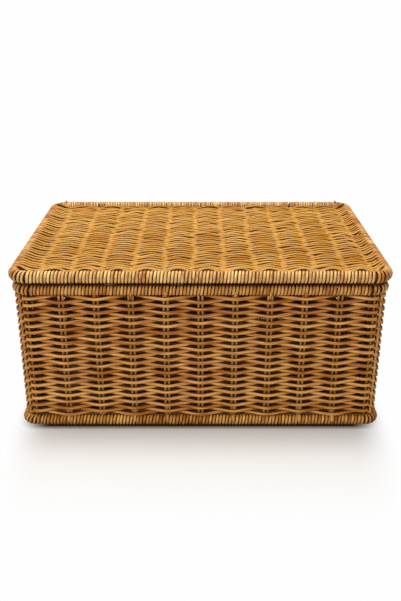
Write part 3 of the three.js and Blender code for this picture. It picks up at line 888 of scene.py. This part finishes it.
# %% Ends of cane on the lid
KNOB_INSET = 0.0125
KNOB_ANGLES = np.radians(np.linspace(70, 120, 6))

knobs = []
for hand in (-1, 1):
    (spot,), (out,) = on_ring(lid_bar.ring, np.array([hand * (lid_bar.half_x - KNOB_INSET)]))
    reach = lid_bar.radius + TIE_RADIUS * 0.3
    knobs.append([(*(spot + out * reach * math.cos(a)), lid_bar.z + reach * math.sin(a))
                  for a in KNOB_ANGLES])
grow("lid_cane_ends", path_mesh(knobs), rod_tree, {**TIE_SIZES, "Wander": 0.0}, "lid", "lid_wrap")

# %% [markdown]
# ## The woven lid and base
#
# Lid and base are woven the same way, but flat: rows run from left to right over ribs. The ribs' edges can
# be read off the CAD solid of a hoop, because they are the only points that lie exactly half a rib's
# thickness above the middle.

# %% Ribs, measured on the frame
RIB_THICKNESS = 0.0024
SAME_PLACE = 1e-5


def rib_places(node):
    """The middle of every flat rib of a hoop along X, and the width of a rib."""
    points = solid_points(node)
    middle = (points[:, 2].min() + points[:, 2].max()) / 2
    edges = points[np.abs(points[:, 2] - middle - RIB_THICKNESS / 2) < SAME_PLACE][:, 0]
    edges = np.unique(edges.round(5))
    return (edges[::2] + edges[1::2]) / 2, edges[1] - edges[0]


lid_ribs, lid_rib_width = rib_places("lid_frame")
base_ribs, base_rib_width = rib_places("base_frame")
print("lid ribs at", lid_ribs.round(3), "base ribs at", base_ribs.round(3))

# %% [markdown]
# The ribs are drawn a little thinner than the solids have them. That lets the rows lie as flat as in the
# photograph.

# %% Ribs as flat sticks
RIB_DRAWN = 0.0016

for title, bar, places, width in (("lid", lid_bar, lid_ribs, lid_rib_width),
                                  ("base", foot_bar, base_ribs, base_rib_width)):
    lines = [[(x, y, bar.z) for y in np.linspace(-bar.half_y, bar.half_y, 20)] for x in places]
    sizes = {"Radius": float(width / 2), "Flatness": float(RIB_DRAWN / width), "Unevenness": 0.03,
             "Sides": 10}
    grow(f"{title}_ribs_cane", path_mesh(lines), rod_tree, sizes, bar.body, "base_cane", [f"{title}_frame"])

# %% [markdown]
# A row ends at the hoop, and near the front and back the hoop's round corners make the rows shorter. So
# the points past the outermost rib carry `part`, their share of the way to the hoop, and the tree
# stretches that last bay to wherever the hoop is at that row.
#
# Its first job is to lay the rows out flat. Near the front and back bars the rows are drawn away from the
# bar at each rib and lie close to it in between, so a dark scallop opens at each rib. Neighbouring rows
# drift together, and where they run out to the side bars they close up in pairs.

# %% The flat weave tree: where the rows run
flat_tree, given = new_tree("Flat weave", {
    "Rows": 77, "Front": -0.137, "Back": 0.137, "Height": 0.171, "Swing": 0.003, "Half length": 0.19,
    "Half depth": 0.14, "Corner": 0.01, "Radius": 0.0017, "Sides": 8, "Bow": 0.0015, "Bow depth": 0.025,
    "Back bow": 1.0, "Drift": 0.001, "Crossing drift": 0.3, "Pairing": 0.0, "Climb": 0.0,
    "Border lift": 1.0, "Flatness": 1.0, "Seed": 1,
})
rows, row, share = copied_rows(flat_tree, given)
level = mix(share, given["Front"], given["Back"])
column, part = attribute(flat_tree, "column"), attribute(flat_tree, "part")

rib_x = split(add(flat_tree, "GeometryNodeInputPosition"))[0]
past = maths("MAXIMUM", abs(level) - (given["Half depth"] - given["Corner"]), 0.0)
chord = maths("SQRT", maths("MAXIMUM", given["Corner"] ** 2.0 - past ** 2.0, 0.0))
hoop_x = maths("SIGN", rib_x) * (given["Half length"] - given["Corner"] + chord)
x = part * (hoop_x - rib_x) + rib_x

edge = abs(given["Front"]) - abs(level)
near_bar = 1.0 - ramp(edge, 0.0, given["Bow depth"])
at_rib = abs(maths("COSINE", column * math.pi))
inwards = mix(maths("GREATER_THAN", level, 0.0), 1.0, given["Back bow"] * -1.0)
bow = near_bar * at_rib * given["Bow"] * inwards
by_turns = maths("MODULO", row, 2.0) * -2.0 + 1.0
bow = by_turns * (part ** 0.7 * given["Pairing"]) + bow
drift = (noise(vector(x, level, given["Seed"]), 17.0, 3.0) - 0.5) * ramp(edge, 0.0, 0.02)
y = level + (drift * given["Drift"] + bow)

# %% [markdown]
# Its second job is the weaving itself, which is the walls' rule turned flat. The places where a row
# crosses its neighbour wander a little along X. The first and the last row never dive: they run over every
# rib and are lifted, which gives the lid its raised border. Past the last rib a row on the upper side
# climbs on the side bar and drops just before its end.
#
# The strands are pressed to an oval, and Z-up normals keep them from rolling. A row that passes below a
# rib gets less painted shade than one behind a stake, so `side` is scaled down.

# %% The flat weave tree: over and under
crossing = noise(vector(column, row, given["Seed"]), 0.6, 2.0) - 0.5
wave = steeper(swing(crossing * given["Crossing drift"] + column, row))
border = maths("LESS_THAN", row, 0.5) + maths("GREATER_THAN", row, given["Rows"] - 1.5)
rows, side = capture(rows, mix(border, wave, abs(wave)))
lift = border * (given["Border lift"] - 1.0) + 1.0
hump = (ramp(part, 0.70, 0.94) - ramp(part, 0.95, 1.0, 0.0, 0.15)) * maths("MAXIMUM", side, 0.0)
z = side * lift * given["Swing"] + given["Height"] + hump * given["Climb"]
woven = move(rows, Position=vector(x, y, z))
woven = store(woven, away=(0, 0, 1), side=side * 0.8)
woven = add(flat_tree, "GeometryNodeSetCurveNormal", {0: woven}, mode="Z_UP")
end_tree(sweep(woven, given), given["Material"])

# %% [markdown]
# One path serves all the rows of a panel. Its points stand closer together near the hoop, where a row
# climbs and drops within a few millimetres. The tuck is how far inside the bar's centre line the rows end.
# The lid's rows end almost on it and so cover the inner side of the side bars.

# %% Weave the lid and the base
BAY_STEPS = 7
END_STEPS = np.array([0, 0.05, 0.11, 0.18, 0.28, 0.42, 0.6, 0.8])
LID_TUCK, LID_STRAND, LID_ROWS = 0.0015, 0.0042, 69
BASE_TUCK, BASE_STRAND, BASE_ROWS = 0.0055, 0.0037, 78
PRESSED = 0.75


def flat_path(ribs):
    """The path of one row, from hoop to hoop over every rib."""
    bays = np.arange((len(ribs) - 1) * BAY_STEPS) / BAY_STEPS
    column = np.concatenate([END_STEPS, 1 + bays, [len(ribs)], len(ribs) + 1 - END_STEPS[::-1]])
    x = np.interp(column, np.arange(len(ribs)) + 1, ribs)
    part = np.maximum(1 - column, 0) + np.maximum(column - len(ribs), 0)
    return path_mesh([np.column_stack([x, 0 * x, 0 * x])], column=column, part=part)


def weave_flat(node, bar, ribs, tuck, strand, rows, slot, **extra):
    """Weaves the panel inside a hoop in place of a CAD node."""
    low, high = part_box(node)
    sizes = {
        "Rows": rows, "Front": low.y + strand / 2, "Back": high.y - strand / 2, "Height": bar.z,
        "Swing": (RIB_DRAWN + strand * PRESSED) / 2, "Radius": strand / 2, "Flatness": PRESSED,
        "Half length": bar.half_x - tuck, "Half depth": bar.half_y - tuck,
        "Corner": bar.corner - tuck, **extra,
    }
    grow(f"{node}_cane", flat_path(ribs), flat_tree, sizes, bar.body, slot, [node])


weave_flat("lid_weave", lid_bar, lid_ribs, LID_TUCK, LID_STRAND, LID_ROWS, "lid_cane", **{
    "Seed": 5, "Bow": 0.0042, "Bow depth": 0.024, "Back bow": 1.1, "Drift": 0.005, "Crossing drift": 0.7,
    "Pairing": 0.002, "Climb": 0.0026, "Border lift": 1.85})
weave_flat("base_weave", foot_bar, base_ribs, BASE_TUCK, BASE_STRAND, BASE_ROWS, "base_cane",
           Seed=9, Bow=0.0)

# %% [markdown]
# ## The hinge lashings
#
# At the back, a cane goes round the bare hoops of rim and lid together in two places, three turns each.
# The lid turns in them. The path is a belt round two circles, drawn on while it advances sideways.

# %% Lashings
LASHING_TURNS = 3
LASHING_CANE = 0.003
BELT_STEPS = 8


def belt(low, high):
    """A cane wound round both hoops between two places along the back."""
    turn = []
    for bar, start in ((rim_bar, math.pi), (lid_bar, 2 * math.pi)):
        angles = np.linspace(0, math.pi, BELT_STEPS + 1) + start
        reach = bar.radius - LASHING_CANE / 2
        turn += [(bar.half_y + reach * math.cos(a), bar.z + reach * math.sin(a)) for a in angles]
    turns = np.tile(turn, (LASHING_TURNS, 1))
    return np.column_stack([np.linspace(low + LASHING_CANE / 2, high - LASHING_CANE / 2, len(turns)), turns])


for title, low, high in (("left", left_low.x, left_high.x), ("right", right_low.x, right_high.x)):
    grow(f"hinge_lashing_{title}_cane", path_mesh([belt(low, high)]), rod_tree,
         {"Radius": LASHING_CANE / 2, "Unevenness": 0.05, "Sides": 10, "Wander": 0.0},
         "basket", "lashing_cane", [f"hinge_lashing_{title}"])

# %% [markdown]
# ## The floor
#
# The photograph has a floor that is white but for the soft shadow round the foot of the box. So the floor
# is matt and grey enough to take a shadow near the box, and further off it fades, for the camera only, to
# the plain white of the background. Beside the box it fades sooner than in front of it. A dark line is
# painted where the foot touches the floor, because the shadow there is deeper than soft lamps make it.
#
# Both need the distance from a rectangle: the length of what each coordinate has too much.

# %% Floor
FLOOR_SIZE = 8.0
FLOOR_COLOUR = (0.71, 0.71, 0.705, 1)
CONTACT_COLOUR = (0.06, 0.035, 0.015, 1)
CONTACT_WIDTHS = (0.004, 0.013)
GROUNDED = (0.156, 0.150)
SIDE_HASTE = 3.6
FADE_WIDTHS = (0.03, 0.19)
WHITE = 0.9915

floor = new_object("floor", bpy.data.meshes.new("floor"))
far = FLOOR_SIZE / 2
floor.data.from_pydata([(-far, -far, 0), (far, -far, 0), (far, far, 0), (-far, far, 0)], [], [(0, 1, 2, 3)])

paper = bpy.data.materials.new("floor_paper")
tree = empty_tree(paper)
floor_x, floor_y, _ = split(add(tree, "ShaderNodeTexCoord", out="Object"))


def outside(half_x, half_y, haste=1.0):
    """The distance from a rectangle round the middle. Haste stretches it beside the rectangle."""
    past_x = maths("MAXIMUM", abs(floor_x) - half_x, 0.0) * haste
    return vectors("LENGTH", vector(past_x, maths("MAXIMUM", abs(floor_y) - half_y, 0.0)))


fade = ramp(outside(*GROUNDED, SIDE_HASTE), *FADE_WIDTHS, interpolation_type="SMOOTHSTEP")
past_foot = outside(foot_bar.half_x - foot_bar.corner, foot_bar.half_y - foot_bar.corner) - foot_bar.corner
ground = mix(ramp(past_foot, *CONTACT_WIDTHS), CONTACT_COLOUR, FLOOR_COLOUR, "RGBA")
matt = add(tree, "ShaderNodeBsdfPrincipled",
           {"Base Color": ground, "Roughness": 0.9, "Specular IOR Level": 0.0})
white = add(tree, "ShaderNodeEmission", {"Color": (1, 1, 1, 1), "Strength": WHITE})
seen = add(tree, "ShaderNodeLightPath", out="Is Camera Ray")
mixed = add(tree, "ShaderNodeMixShader", {0: fade * seen, 1: matt, 2: white})
add(tree, "ShaderNodeOutputMaterial", {"Surface": mixed})
floor.data.materials.append(paper)
print("floor of", FLOOR_SIZE, "m")

# %% [markdown]
# ## The light
#
# Two large lamps give the soft light: one high above, a little behind the middle, and one in front on the
# left. A pale, dim world fills in the rest. The white of the background isn't light on the box: only
# camera rays see it. It stops just short of full white, like the photograph's.

# %% World and lamps
LAMP_COLOUR = (1.0, 0.98, 0.95)

scene.world = bpy.data.worlds.new("studio")
tree = empty_tree(scene.world)
seen = add(tree, "ShaderNodeLightPath", out="Is Camera Ray")
soft = add(tree, "ShaderNodeBackground", {"Color": (1.0, 0.99, 0.97, 1), "Strength": 0.35})
plain = add(tree, "ShaderNodeBackground", {"Color": (1, 1, 1, 1), "Strength": WHITE})
mixed = add(tree, "ShaderNodeMixShader", {0: seen, 1: soft, 2: plain})
add(tree, "ShaderNodeOutputWorld", {"Surface": mixed})


def lamp(name, place, size, power):
    """A square area lamp that faces the box."""
    light = bpy.data.lights.new(name, "AREA")
    light.energy, light.size, light.color = power, size, LAMP_COLOUR
    holder = new_object(name, light)
    holder.location = place
    aim = Vector((0, 0, stake_top / 2)) - Vector(place)
    holder.rotation_euler = aim.to_track_quat("-Z", "Y").to_euler()
    print(name, "lamp at", place)


lamp("key", (-0.15, 0.1, 1.75), 0.9, 26)
lamp("front", (-0.5, -1.6, 1.2), 1.1, 15)
scene.view_settings.view_transform = "Standard"
